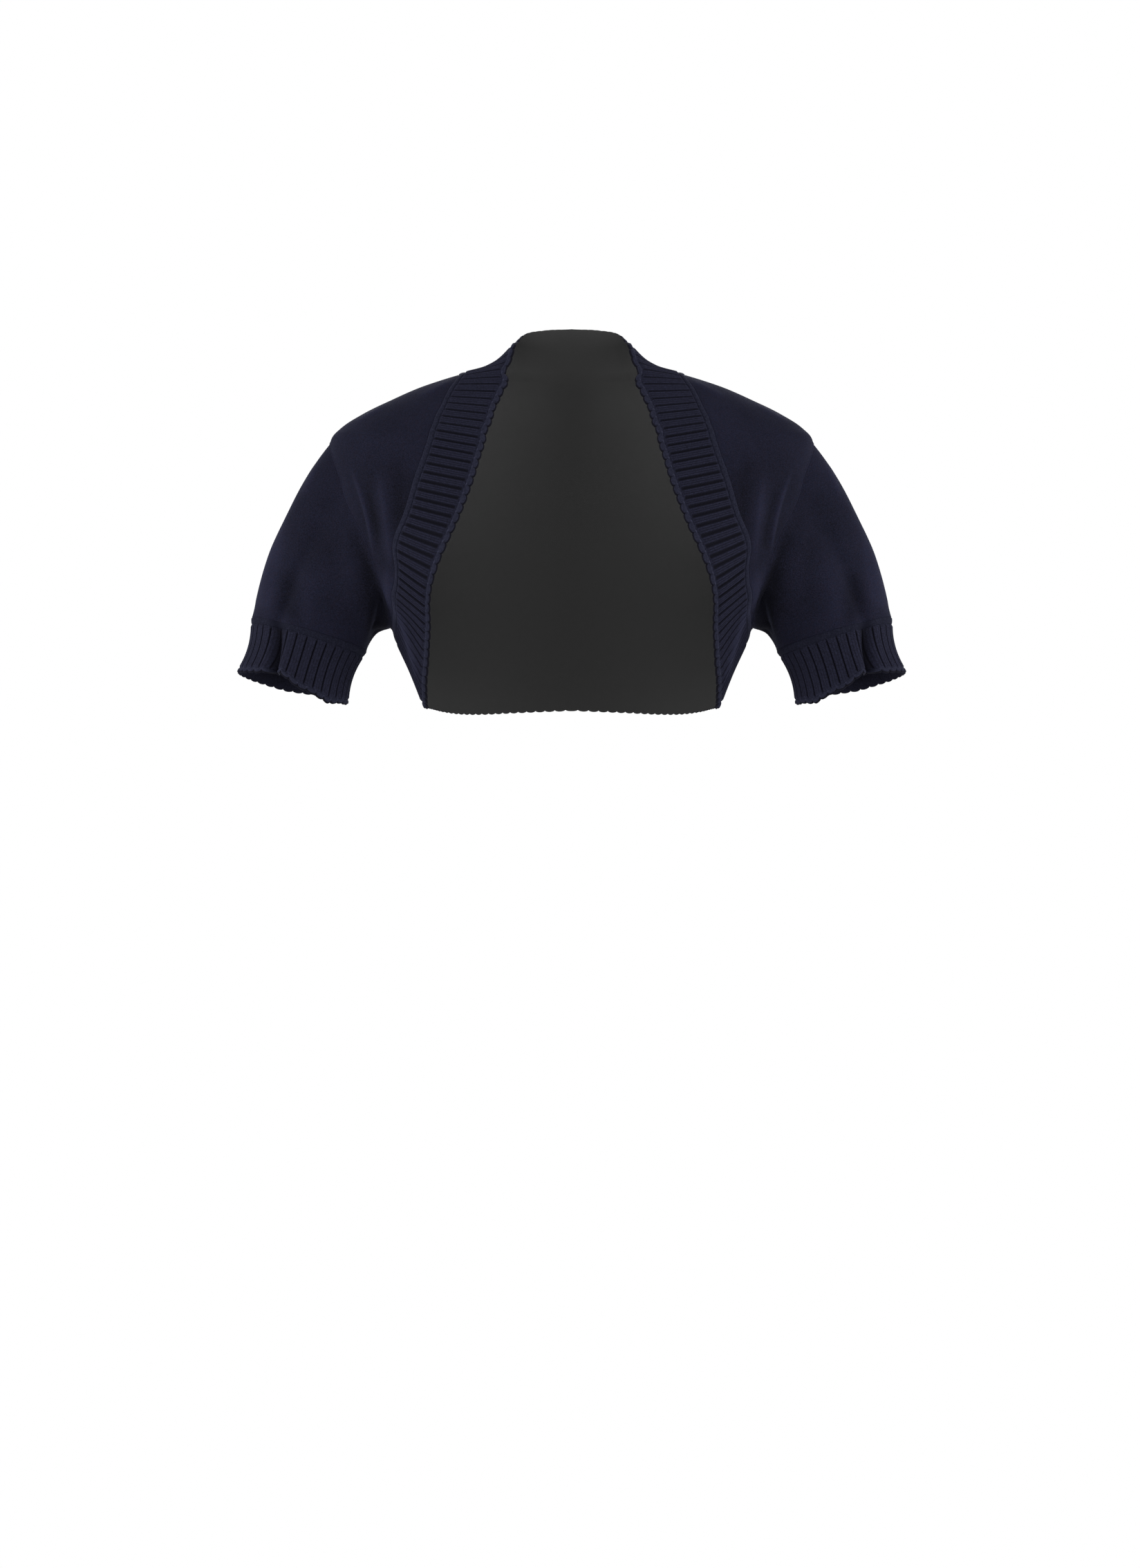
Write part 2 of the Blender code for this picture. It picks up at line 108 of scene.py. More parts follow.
ARMHOLE_FRONT = (
    (-54, 94),
    (-56, 88),
    (-63, 80.5),
    (-77, 75),
    (-101, 71),
    (-116, 66.5),
    (-129, 63),
    (-145, 61.5),
    (-161, 62),
    (-177.5, 64.5),
    (-190, 68),
    (-203.5, 76),
    (-207, 90),
)
ARMHOLE_BACK = (
    (-54, 94),
    (-56, 100),
    (-63, 106.5),
    (-80, 112),
    (-110, 117),
    (-145, 119),
    (-175, 116),
    (-198, 106),
    (-207, 90),
)
CREASE_COLUMNS = ("x0", "z0", "x1", "z1", "bow", "width", "height")
BACK_CREASES = (
    (168, -92, 120, -118, 5, 7, 1.0),
    (166, -128, 118, -150, 4, 8, 1.3),
    (158, -165, 112, -182, 3, 7, 1.0),
    (150, -35, 108, -14, 3, 6, 0.7),
    (96, -212, 92, -150, 4, 9, 1.0),
    (40, -220, 46, -170, -3, 10, 0.8),
)
SEAM_DIP = 0.3 * MM
SEAM_REACH = 0.9 * MM
SEAM_RIDGE = 0.45 * MM
RIDGE_NARROWNESS = 1.5
DIP_NARROWNESS = 2.0
FOLD_UNIT = 2.0 * MM
SHARP_ANGLE = np.radians(50)
ARMHOLE_STEPS = 64
SHOULDER_SEAM_STEPS = 28
SIDE_SEAM_STEPS = 4
HALF_BACK_COLUMNS = 60


def named(columns, rows):
    """Columns of a table by their names."""
    return dict(zip(columns, np.array(rows, dtype=float).T))


def smooth(knots, values, at):
    """Cubic curve through values at the knots: each span blends its two ends and their slopes."""
    slopes = np.gradient(values, knots, axis=0)
    first = np.clip(np.searchsorted(knots, at) - 1, 0, len(knots) - 2)
    width = knots[first + 1] - knots[first]
    share = (at - knots[first]) / width
    share, width = share[..., None], width[..., None]
    rest = 1 - share
    start = rest ** 2 * (1 + 2 * share) * values[first] + rest ** 2 * share * width * slopes[first]
    end = share ** 2 * (1 + 2 * rest) * values[first + 1] - share ** 2 * rest * width * slopes[first + 1]
    return start + end


def unit(vectors):
    """Vectors divided by their length."""
    return vectors / np.linalg.norm(vectors, axis=-1, keepdims=True)


form = named(FORM_COLUMNS, FORM)
side_steps = np.hypot(np.diff(form["height"]), np.diff(form["half_width"])) * MM
side_lengths = np.concatenate([[0.0], np.cumsum(side_steps)])
sections = np.stack([form[name] * MM for name in FORM_COLUMNS[:-1]] + [form["squareness"]], axis=-1)


def torso(place):
    """Worn form: at each side length a level superellipse, half_width across and a depth each way."""
    angle, side = place[..., 0], place[..., 1]
    height, half_width, front, back, side_y, square = np.moveaxis(smooth(side_lengths, sections, side), -1, 0)
    sine, cosine = np.sin(angle), np.cos(angle)
    x = half_width * np.sign(sine) * np.abs(sine) ** (2 / square)
    depth = np.where(cosine > 0, -front, back)
    y = side_y + depth * np.abs(cosine) ** (2 / square)
    return np.stack([x, y, height], axis=-1)


def torso_normal(place):
    """Outward direction: the cross product of a small step down and a small turn."""
    step = 1e-3
    turn = torso(place + [step, 0]) - torso(place - [step, 0])
    down = torso(place + [0, step]) - torso(place - [0, step])
    return unit(np.cross(down, turn))


def places(angles, heights):
    """Angle and side length pairs from degrees and millimetres."""
    sides = np.interp(-np.asarray(heights), -form["height"], side_lengths)
    return np.stack([np.radians(angles), sides], axis=-1)


band_line = named(BAND_COLUMNS, BAND)
band_edge = places(band_line["edge_angle"], band_line["edge_height"])
band_seam = places(band_line["seam_angle"], band_line["seam_height"])


def armhole(rows, count):
    """Places at even steps along an armhole seam."""
    seam = named(ARMHOLE_COLUMNS, rows)
    knots = places(seam["angle"], seam["height"])
    lengths = np.linalg.norm(np.diff(torso(knots), axis=0), axis=1)
    along = np.concatenate([[0.0], np.cumsum(lengths)])
    return smooth(along, knots, np.linspace(0, along[-1], count + 1))


def creases(points, rows):
    """Lift of the listed folds, seen from the front.

    Each row is a line from x0, z0 to x1, z1, bowed sideways as a parabola. The lift is a bell across
    the line, width to either side, and fades to nothing at the line's ends as a cosine.
    """
    lift = np.zeros(points.shape[:-1])
    for x0, z0, x1, z1, bow, width, height in np.array(rows) * MM:
        along = np.array([x1 - x0, z1 - z0])
        length = np.hypot(*along)
        offset = points[..., [0, 2]] - [x0, z0]
        share = offset @ along / length ** 2
        across = (offset[..., 0] * along[1] - offset[..., 1] * along[0]) / length
        across = across - bow * 4 * share * (1 - share)
        fade = 0.5 + 0.5 * np.cos(np.pi * np.clip(np.abs(2 * share - 1), 0, 1) ** 2)
        lift += height * np.exp(-(across / width) ** 2) * fade
    return lift


def seam_line(grid, edges, ridge=0.0, dip=SEAM_DIP):
    """Lift of a panel beside its seams: a bell downwards at each named edge, and a ridge behind it."""
    lines = {
        "first row": grid[:1],
        "last row": grid[-1:],
        "first column": grid[:, :1],
        "last column": grid[:, -1:],
    }
    lift = np.zeros(grid.shape[:2])
    for edge in edges:
        away = np.linalg.norm(grid - lines[edge], axis=-1) / SEAM_REACH
        lift += ridge * np.exp(-(RIDGE_NARROWNESS * (away - 1)) ** 2)
        lift -= dip * np.exp(-(DIP_NARROWNESS * away) ** 2)
    return lift


def knit_shell(name, outer, inner, outer_uv, finishes, closed=False, marks=None):
    """Closed knit wall between an outer and an inner grid of points, whose rows may differ in number.

    Both grids become squares between their neighbours, and strips close the wall along its edges.
    finishes holds the material of the outer face and that of the inner face. marks are attributes
    for the materials: the values at the outer points, and those at the inner points or one for all.
    """
    columns = outer.shape[1]
    spans = columns if closed else columns - 1

    def grid_faces(rows, start, turned):
        """Corners of a grid's squares: their points, and the row and the column of each."""
        row, column = np.meshgrid(np.arange(rows - 1), np.arange(spans), indexing="ij")
        corner_rows = np.stack([row, row + 1, row + 1, row], axis=-1).reshape(-1, 4)
        corner_columns = np.stack([column, column, column + 1, column + 1], axis=-1).reshape(-1, 4)
        if turned:
            corner_rows, corner_columns = corner_rows[:, ::-1], corner_columns[:, ::-1]
        return start + corner_rows * columns + corner_columns % columns, corner_rows, corner_columns

    inner_start = outer.shape[0] * columns
    outer_faces, outer_rows, outer_columns = grid_faces(outer.shape[0], 0, False)
    inner_faces, inner_rows, inner_columns = grid_faces(inner.shape[0], inner_start, True)
    step = np.arange(spans)
    ahead = (step + 1) % columns
    last_outer = inner_start - columns
    last_inner = inner_start + (inner.shape[0] - 1) * columns
    first_edge = np.stack([step, ahead, inner_start + ahead, inner_start + step], axis=-1)
    last_edge = np.stack(
        [last_outer + ahead, last_outer + step, last_inner + step, last_inner + ahead], axis=-1
    )
    edge_columns = np.stack([step, step + 1, step + 1, step], axis=-1)
    faces = np.concatenate([outer_faces, inner_faces, first_edge, last_edge]).tolist()
    inner_share = np.linspace(0, outer.shape[0] - 1, inner.shape[0]).round().astype(int)
    corners = [
        outer_uv[outer_rows, outer_columns],
        outer_uv[inner_share[inner_rows], inner_columns],
        outer_uv[0, edge_columns],
        outer_uv[-1, edge_columns[:, [1, 0, 3, 2]]],
    ]
    corner_uv = np.concatenate([part.reshape(-1, 2) for part in corners])
    if not closed:
        outside = np.arange(outer.shape[0]) * columns
        inside = inner_start + np.arange(inner.shape[0]) * columns
        faces.append([*outside[::-1], *inside])
        faces.append([*(outside + columns - 1), *(inside + columns - 1)[::-1]])
        corner_uv = np.concatenate([corner_uv, np.zeros((2 * (len(outside) + len(inside)), 2))])
    vertices = np.concatenate([outer.reshape(-1, 3), inner.reshape(-1, 3)])
    # Where an outer face looks towards the inner grid, as on a mirrored shell, all faces are turned.
    first, second, third = (vertices[outer_faces[len(outer_faces) // 2, corner]] for corner in range(3))
    middle_column = columns // 2
    inward = inner[inner.shape[0] // 2, middle_column] - outer[outer.shape[0] // 2, middle_column]
    if np.dot(np.cross(second - first, third - first), inward) > 0:
        counts = np.array([len(face) for face in faces])
        ends = np.cumsum(counts)
        order = [np.arange(end - 1, end - count - 1, -1) for end, count in zip(ends, counts)]
        corner_uv = corner_uv[np.concatenate(order)]
        faces = [face[::-1] for face in faces]
    mesh = bpy.data.meshes.new(name)
    mesh.from_pydata(vertices.tolist(), [], faces)
    mesh.uv_layers.new(name="yarn").data.foreach_set("uv", corner_uv.astype(np.float32).ravel())
    for key, (values, inside) in (marks or {}).items():
        whole = np.concatenate([values.ravel(), np.broadcast_to(inside, inner.shape[:2]).ravel()])
        mark = mesh.attributes.new(key, "FLOAT", "POINT")
        mark.data.foreach_set("value", whole.astype(np.float32))
    side = np.zeros(len(faces), np.int32)
    side[len(outer_faces):len(outer_faces) + len(inner_faces)] = 1
    mesh.polygons.foreach_set("material_index", side)
    mesh.shade_smooth()
    mesh.set_sharp_from_angle(angle=SHARP_ANGLE)
    for finish in finishes:
        mesh.materials.append(finish)
    piece = bpy.data.objects.new(name, mesh)
    bpy.context.scene.collection.objects.link(piece)
    return piece


def mirrored(grid):
    """The same points on the other side of the centre plane."""
    return grid * [-1.0, 1.0, 1.0]


def node(tree, kind, inputs, **settings):
    """Add a shader node, with its fields set and its inputs fed by values or by other nodes."""
    made = tree.nodes.new("ShaderNode" + kind)
    for key, value in settings.items():
        setattr(made, key, value)
    for key, value in inputs.items():
        if isinstance(value, bpy.types.NodeSocket):
            tree.links.new(value, made.inputs[key])
        else:
            made.inputs[key].default_value = value
    return made.outputs[0]


def maths(tree, operation, first, second=0.0, third=0.0):
    """One arithmetic step of a material."""
    return node(tree, "Math", {0: first, 1: second, 2: third}, operation=operation)


def blend(tree, share, dark, light):
    """Colour between two colours, by a share from 0 to 1."""
    mix = tree.nodes.new("ShaderNodeMix")
    mix.data_type = "RGBA"
    for socket, value in ((mix.inputs[0], share), (mix.inputs[6], dark), (mix.inputs[7], light)):
        if isinstance(value, bpy.types.NodeSocket):
            tree.links.new(value, socket)
        else:
            socket.default_value = value
    return mix.outputs[2]


def yarn_shader(name, roughness, sheen, sheen_tint):
    """A matt yarn: Principled shader with a little sheen, almost without gloss."""
    material = bpy.data.materials.new(name)
    material.use_nodes = True
    shader = material.node_tree.nodes["Principled BSDF"]
    shader.inputs["Roughness"].default_value = roughness
    shader.inputs["Specular IOR Level"].default_value = 0.04
    shader.inputs["Sheen Weight"].default_value = sheen
    shader.inputs["Sheen Roughness"].default_value = 0.3
    shader.inputs["Sheen Tint"].default_value = sheen_tint
    return material, material.node_tree, shader


NAVY_DARK = (0.0028, 0.0028, 0.0048, 1)
NAVY_BLUE = (0.0209, 0.0236, 0.0502, 1)
NAVY_PURPLE = (0.0245, 0.0227, 0.0448, 1)
CHARCOAL_DARK = (0.022, 0.022, 0.022, 1)
CHARCOAL_LIGHT = (0.132, 0.132, 0.132, 1)
GREY_UNIT = 100 * MM
WALE = 1.05 * MM
COURSE = 0.8 * MM
STITCH_SLANT = 0.5
STITCH_WAVE = 0.3
STITCH_LEG_SLOPE = 1.6


def stitches(tree):
    """Height of plain stitches: two slanting legs to a wale, in V shapes one course apart."""
    uv = node(tree, "UVMap", {}, uv_map="yarn")
    split = tree.nodes.new("ShaderNodeSeparateXYZ")
    tree.links.new(uv, split.inputs[0])
    wale = maths(tree, "FRACT", maths(tree, "DIVIDE", split.outputs[0], WALE))
    from_middle = maths(tree, "MULTIPLY", maths(tree, "ABSOLUTE", maths(tree, "SUBTRACT", wale, 0.5)), 2.0)
    slant = maths(tree, "MULTIPLY", from_middle, STITCH_SLANT)
    course = maths(tree, "ADD", maths(tree, "DIVIDE", split.outputs[1], COURSE), slant)
    wave = maths(tree, "SINE", maths(tree, "MULTIPLY", course, 2 * np.pi))
    wave = maths(tree, "MULTIPLY_ADD", wave, STITCH_WAVE, 1 - STITCH_WAVE)
    from_leg = maths(tree, "ABSOLUTE", maths(tree, "SUBTRACT", from_middle, 0.5))
    leg = maths(tree, "SUBTRACT", 1.0, maths(tree, "MULTIPLY", from_leg, STITCH_LEG_SLOPE))
    return maths(tree, "MULTIPLY", wave, leg)


def point_value(tree, name):
    """A value that the mesh keeps at its points."""
    attribute = tree.nodes.new("ShaderNodeAttribute")
    attribute.attribute_name = name
    return attribute.outputs["Fac"]


def add_up(tree, start, *terms):
    """A start value plus each term's excess over its middle, times its weight."""
    total = start
    for value, middle, weight in terms:
        excess = maths(tree, "SUBTRACT", value, middle)
        total = maths(tree, "ADD", total, maths(tree, "MULTIPLY", excess, weight))
    return total


# The plain knit: its share of light yarn varies in soft clouds and in flecks. It is lighter on the
# stitches' tops, a painted highlight, and follows the height of a fold: painted highlight on a ridge,
# painted shade in a trough. The light yarn itself wavers between a blue navy and a purple one.
plain_navy, tree, shader = yarn_shader("plain_knit_navy_yarn", 0.85, 0.06, (0.55, 0.58, 0.95, 1))
position = tree.nodes.new("ShaderNodeTexCoord").outputs["Object"]
cloud = node(tree, "TexNoise", {"Vector": position, "Scale": 20.0, "Detail": 3.0})
fleck = node(tree, "TexNoise", {"Vector": position, "Scale": 1300.0, "Detail": 3.0, "Roughness": 0.75})
tint = node(tree, "TexNoise", {"Vector": position, "Scale": 450.0, "Detail": 2.0})
stitch = stitches(tree)
fold_and_shade = point_value(tree, "fold_and_shade")
share = add_up(tree, 0.35, (cloud, 0.5, 0.35), (fleck, 0.5, 1.4), (stitch, 0.4, 0.12), (fold_and_shade, 0.0, 0.38))
light_yarn = blend(tree, add_up(tree, 0.5, (tint, 0.5, 3.0)), NAVY_BLUE, NAVY_PURPLE)
tree.links.new(blend(tree, share, NAVY_DARK, light_yarn), shader.inputs["Base Color"])
fuzz = maths(tree, "ADD", stitch, maths(tree, "MULTIPLY", fleck, 0.6))
bump = node(tree, "Bump", {"Strength": 0.5, "Distance": 0.25 * MM, "Height": fuzz})
tree.links.new(bump, shader.inputs["Normal"])

# The inner face is an even grey, with painted light over it: its share of light yarn grows with the
# square of the distance from the centre plane, most of all at the shoulders' height, and less again
# at the neck. It is painted lighter where the fronts shade it and darker where light falls in at the
# neck.
charcoal_inside, tree, shader = yarn_shader("charcoal_inner_face", 0.95, 0.0, (1, 1, 1, 1))
position = tree.nodes.new("ShaderNodeTexCoord").outputs["Object"]
split = tree.nodes.new("ShaderNodeSeparateXYZ")
tree.links.new(position, split.inputs[0])
sideways = maths(tree, "POWER", maths(tree, "DIVIDE", split.outputs[0], GREY_UNIT), 2.0)
height = maths(tree, "DIVIDE", split.outputs[2], GREY_UNIT)
at_neck = maths(tree, "MAXIMUM", maths(tree, "MULTIPLY_ADD", height, -8.0, 1.8), -0.5)
below = maths(tree, "EXPONENT", maths(tree, "MINIMUM", maths(tree, "ADD", height, 0.2), 0.05))
painted_side_light = maths(tree, "MULTIPLY", sideways, maths(tree, "MINIMUM", below, at_neck))
share = add_up(tree, 0.112, (painted_side_light, 0.0, 1.2), (height, -1.5, 0.036))
tree.links.new(blend(tree, share, CHARCOAL_DARK, CHARCOAL_LIGHT), shader.inputs["Base Color"])
bump = node(tree, "Bump", {"Strength": 0.25, "Distance": 0.2 * MM, "Height": stitches(tree)})
tree.links.new(bump, shader.inputs["Normal"])


def knit_uv(place):
    """Yarn map of a plain panel: its mean arc length round the form, and its length down the side."""
    half_width, front = np.moveaxis(smooth(side_lengths, sections[:, 1:3], place[..., 1]), -1, 0)
    return np.stack([place[..., 0] * (half_width + front) / 2, place[..., 1]], axis=-1)


# The left half is a patch between four lines: the neck, the shoulder with the armhole and the side,
# the hem, and the centre line. The right half is its mirror image.
outline_back = armhole(ARMHOLE_BACK, ARMHOLE_STEPS)
shoulder_end = smooth(band_line["rib"], band_seam, np.array([float(SHOULDER_RIB)]))[0]
side_end = smooth(band_line["rib"], band_seam, np.array([float(SIDE_RIB)]))[0]
shoulder_seam = np.linspace(shoulder_end, outline_back[0], SHOULDER_SEAM_STEPS + 1)
side_seam = np.linspace(outline_back[-1], side_end, SIDE_SEAM_STEPS + 1)
outline = np.concatenate([shoulder_seam[:-1], outline_back, side_seam[1:]])
top = smooth(band_line["rib"], band_seam, np.linspace(0, SHOULDER_RIB, HALF_BACK_COLUMNS))
bottom = smooth(band_line["rib"], band_seam, np.linspace(HEM_RIB, SIDE_RIB, HALF_BACK_COLUMNS))
drop = (outline[:, 1] - outline[0, 1]) / (outline[-1, 1] - outline[0, 1])
centre = np.stack([np.full(len(drop), np.pi), top[0, 1] + drop * (bottom[0, 1] - top[0, 1])], axis=-1)
across = np.linspace(0, 1, HALF_BACK_COLUMNS)[None, :, None]
down = drop[:, None, None]
centre_ends = (1 - down) * top[0] + down * bottom[0]
outline_ends = (1 - down) * top[-1] + down * bottom[-1]
corners = (1 - across) * centre_ends + across * outline_ends
place = (1 - down) * top + down * bottom - corners
place = place + (1 - across) * centre[:, None] + across * outline[:, None]
left = torso(place)
left_normal = torso_normal(place)
lift = creases(left, BACK_CREASES) + seam_line(left, ("first row", "last row"))
lift = lift + seam_line(left, ("last column",), ridge=SEAM_RIDGE / 2, dip=0.0)
left_outer = left + lift[..., None] * left_normal
left_inner = left - WALL * left_normal
uv = knit_uv(place)
outer = np.concatenate([mirrored(left_outer[:, :0:-1]), left_outer], axis=1)
inner = np.concatenate([mirrored(left_inner[:, :0:-1]), left_inner], axis=1)
uv = np.concatenate([(2 * uv[:, :1] - uv[:, :0:-1]) * [1, 0] + uv[:, :0:-1] * [0, 1], uv], axis=1)
# The lift of the folds and seams is painted into the colour too: painted shade in the troughs and seam dips,
# painted highlight on the ridges.
fold_and_shade = np.concatenate([lift[:, :0:-1], lift], axis=1) / FOLD_UNIT
back = knit_shell("back_knit", outer, inner, uv, (plain_navy, charcoal_inside), marks={"fold_and_shade": (fold_and_shade, 0.0)})
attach(back, "root")
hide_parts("back")

# Front panels: fine plain knit, a short shoulder and a long point down to the underarm, each linked
# to the band along its binding and to the sleeve at the armhole. The cloth is drawn towards the
# underarm, in soft upright folds, and lies smooth over the shoulder.
FRONT_CREASES = (
    (181, -76, 160, -154, 3.5, 1.6, 1.5),
    (157, -78, 145, -166, 1.0, 3.0, 0.75),
    (154, -50, 148, -178, 0, 26, -0.5),
    (122, -64, 136, -166, 0, 11, -0.45),
    (158, -76, 145, -170, 1.0, 7.0, 0.7),
    (168, -90, 155, -152, 2, 3.0, -0.6),
    (142, -60, 137, -140, 0, 7, -0.6),
    (94, -2, 128, -20, 1, 2.6, 0.7),
    (150, -24, 178, -40, 0, 2.4, 0.9),
    (150, -160, 148, -196, 1, 4, 0.9),
)
FRONT_ROWS = 120
FRONT_COLUMNS = 60

arm = armhole(ARMHOLE_FRONT, FRONT_ROWS)
seam = smooth(band_line["rib"], band_seam, np.linspace(SHOULDER_RIB, SIDE_RIB, FRONT_ROWS + 1))
share = 0.5 - 0.5 * np.cos(np.linspace(0, np.pi, FRONT_COLUMNS + 1))[:, None]
place = seam[:, None] + (arm - seam)[:, None] * share
plain, normal = torso(place), torso_normal(place)
# The lift is painted into the colour too: painted shade in the troughs and at the seam, painted highlight on
# the ridges. The broad shallow troughs darken the panel's middle mostly by this painted shade.
lift = creases(plain, FRONT_CREASES) + seam_line(plain, ("first column",))
lift = lift + seam_line(plain, ("last column",), ridge=SEAM_RIDGE, dip=0.0)
outer = plain + lift[..., None] * normal
inner = plain - WALL * normal
uv = knit_uv(place)
for side, turn in (("left", np.asarray), ("right", mirrored)):
    front = knit_shell(
        "front_" + side + "_knit", turn(outer), turn(inner), uv, (plain_navy, plain_navy),
        marks={"fold_and_shade": (lift / FOLD_UNIT, 0.0)}
    )
    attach(front, "root")
    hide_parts("front_" + side)

# Sleeves: set-in short sleeves of the same plain knit, each a tube from the armhole to the cuff's
# binding. Their threads run from the armhole's points to the cuff, and the cloth folds deeply where
# the arm meets the body and softly above the cuff's crease.
RIBS_CUFF = 35
CUFF_CENTRE = np.array([215.9, -6.0, -213.1]) * MM
CUFF_DEPTH = 44 * MM
CUFF_LEAN = np.radians(17)
CUFF_SWING = np.radians(4.7)
CUFF_TILT = np.radians(16)
CUFF_SEAM_AXES = np.array([49.0, 40.0]) * MM
CUFF_RIM_AXES = np.array([46.5, 38.5]) * MM
CUFF_PULL = 3.7 * MM
CREASE_ANGLES = np.radians([60.0, 67.5])
CREASE_DEPTHS = np.array([3.5, 12.5]) * MM
CREASE_HALF_WIDTHS = np.radians([7.5, 5.2])
RIM_COLUMNS = ("angle", "lower")
RIM = (
    (0, 0),
    (30, -0.5),
    (50, -2.0),
    (67, -5.0),
    (77, -6.0),
    (88, -2.5),
    (98, 1.0),
    (110, 2.0),
    (122, 3.5),
    (136, 5.5),
    (155, 2.0),
    (180, 0.3),
    (210, -2.0),
    (250, -3.0),
    (280, 0),
    (320, 0.5),
    (360, 0),
)
SLEEVE_HANDLE = 0.37
SLEEVE_OUTWARD = np.array([0.94, 0.0, -0.34])
SLEEVE_OUTWARD_SHARE = 0.5
SLEEVE_ROWS = 70
SLEEVE_CREASES_FRONT = (
    (152.5, -174, 163.0, -234, 1, 4.6, -8.5),
    (158, -150, 167, -238, 1, 10.0, -0.5),
    (173, -70, 155, -215, 2, 14.0, -1.8),
    (209, -72, 221, -102, 0, 2.6, 1.0),
    (229.5, -156, 229, -234, 0, 10.0, -1.0),
    (213, -160, 215, -214, 0, 7, 0.5),
    (196, -130, 190, -196, 1, 8, -0.4),
    (243, -130, 250, -196, 0, 6, 0.8),
    (244, -98, 257, -204, 0, 10, 2.1),
    (204, -84, 206, -166, 0, 15, -0.35),
)
SLEEVE_CREASES_BACK = (
    (158, -180, 168, -214, 1, 6, -2.5),
    (200, -110, 196, -165, 2, 7, 1.2),
    (222, -150, 226, -204, 0, 9, -0.6),
    (238, -120, 248, -180, 0, 7, 0.9),
    (244, -98, 257, -204, 0, 10, 2.1),
)
SLEEVE_FADE = 12
DARKEST_FOLD = -0.8
LIGHTEST_FOLD = 0.5

rim_line = named(RIM_COLUMNS, RIM)


def cuff_axes():
    """Outward, forward and downward axes of the left cuff, leaning out and a little forward."""
    outward = np.array([np.cos(CUFF_TILT), 0.0, np.sin(CUFF_TILT)])
    flat = np.cos(CUFF_SWING)
    lowered = np.array([np.sin(CUFF_LEAN) * flat, -np.sin(CUFF_SWING), -np.cos(CUFF_LEAN) * flat])
    return outward, unit(np.cross(lowered, outward)), lowered


def cuff_crease(angle, share):
    """Share of the crease's depth: a bell across its line, which slants and narrows down the cuff."""
    middle = CREASE_ANGLES[0] + (CREASE_ANGLES[1] - CREASE_ANGLES[0]) * share
    narrowing = CREASE_HALF_WIDTHS[1] - CREASE_HALF_WIDTHS[0]
    half_width = CREASE_HALF_WIDTHS[0] + narrowing * np.clip(share, 0, 1)
    return np.exp(-((angle - middle) / half_width) ** 2)


def cuff_surface(rib, share):
    """Left cuff: an ellipse that narrows to its middle and flares again, with one inward crease."""
    outward, forward, lowered = cuff_axes()
    share = np.asarray(share)[..., None]
    angle = 2 * np.pi * rib[..., None] / RIBS_CUFF
    axes = CUFF_SEAM_AXES + (CUFF_RIM_AXES - CUFF_SEAM_AXES) * share - 4 * CUFF_PULL * share * (1 - share)
    depth = CREASE_DEPTHS[0] + (CREASE_DEPTHS[1] - CREASE_DEPTHS[0]) * share
    dent = depth * cuff_crease(angle, share)
    sideways = (axes[..., :1] - dent) * np.cos(angle) * outward
    ahead = (axes[..., 1:] - dent) * np.sin(angle) * forward
    turn = np.degrees(angle) % 360
    uneven = np.interp(turn, rim_line["angle"], rim_line["lower"]) * MM
    return CUFF_CENTRE + (CUFF_DEPTH + uneven) * share * lowered + sideways + ahead


def grid_normals(grid):
    """Outward directions of a ring of columns, from its neighbours each way."""
    turn = np.roll(grid, -1, axis=1) - np.roll(grid, 1, axis=1)
    return unit(np.cross(turn, np.gradient(grid, axis=0)))


# The armhole's points run down its front and up its back, so the ring is walked that way. Each thread
# is a cubic curve, with one handle out of the armhole and one into the cuff.
down_front = armhole(ARMHOLE_FRONT, ARMHOLE_STEPS)
down_back = armhole(ARMHOLE_BACK, ARMHOLE_STEPS)
ring = np.concatenate([down_front[:-1], down_back[:0:-1]])
around = [*range(len(ring)), 0]
starts = torso(ring)
knots = np.linspace(0, RIBS_CUFF, len(ring) + 1)[:-1]
ends = cuff_surface(knots, np.zeros(len(knots)))
reach = np.linalg.norm(ends - starts, axis=-1, keepdims=True) * SLEEVE_HANDLE
leave = unit(unit(ends - starts) + SLEEVE_OUTWARD_SHARE * SLEEVE_OUTWARD)
along = (0.5 - 0.5 * np.cos(np.linspace(0, np.pi, SLEEVE_ROWS + 1)))[:, None, None]
rest = 1 - along
handle_out = starts + reach * leave
handle_in = ends - reach * cuff_axes()[2]
plain = rest ** 3 * starts + 3 * along * rest ** 2 * handle_out
plain = plain + 3 * along ** 2 * rest * handle_in + along ** 3 * ends
normal = grid_normals(plain)
facing = np.clip(0.5 - 1.5 * normal[..., 1], 0, 1)
lift = creases(plain, SLEEVE_CREASES_FRONT) * facing + creases(plain, SLEEVE_CREASES_BACK) * (1 - facing)
lift = lift * np.minimum(1, SLEEVE_FADE * np.minimum(along, rest)[..., 0])
lift = lift + seam_line(plain, ("last row",))
outer = plain + lift[..., None] * normal
inner = outer - WALL * grid_normals(outer)
girth = np.linalg.norm(np.diff(plain[:, around], axis=1), axis=-1)
round_length = np.concatenate([np.zeros((len(girth), 1)), np.cumsum(girth, axis=1)], axis=1)
thread = np.linalg.norm(np.diff(plain, axis=0), axis=-1)
thread_length = np.concatenate([np.zeros((1, thread.shape[1])), np.cumsum(thread, axis=0)])
uv = np.stack([round_length, thread_length[:, around]], axis=-1)
# The lift is painted into the colour too, clipped: painted shade in the troughs, darkest in the deep underarm
# fold, and painted highlight on the ridges.
fold_and_shade = np.clip(lift / FOLD_UNIT, DARKEST_FOLD, LIGHTEST_FOLD)
for side, turn in (("left", np.asarray), ("right", mirrored)):
    sleeve = knit_shell(
        "sleeve_" + side + "_knit", turn(outer), turn(inner), uv, (plain_navy, plain_navy), closed=True,
        marks={"fold_and_shade": (fold_and_shade, 0.0)}
    )
    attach(sleeve, "root")
    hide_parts("sleeve_" + side)

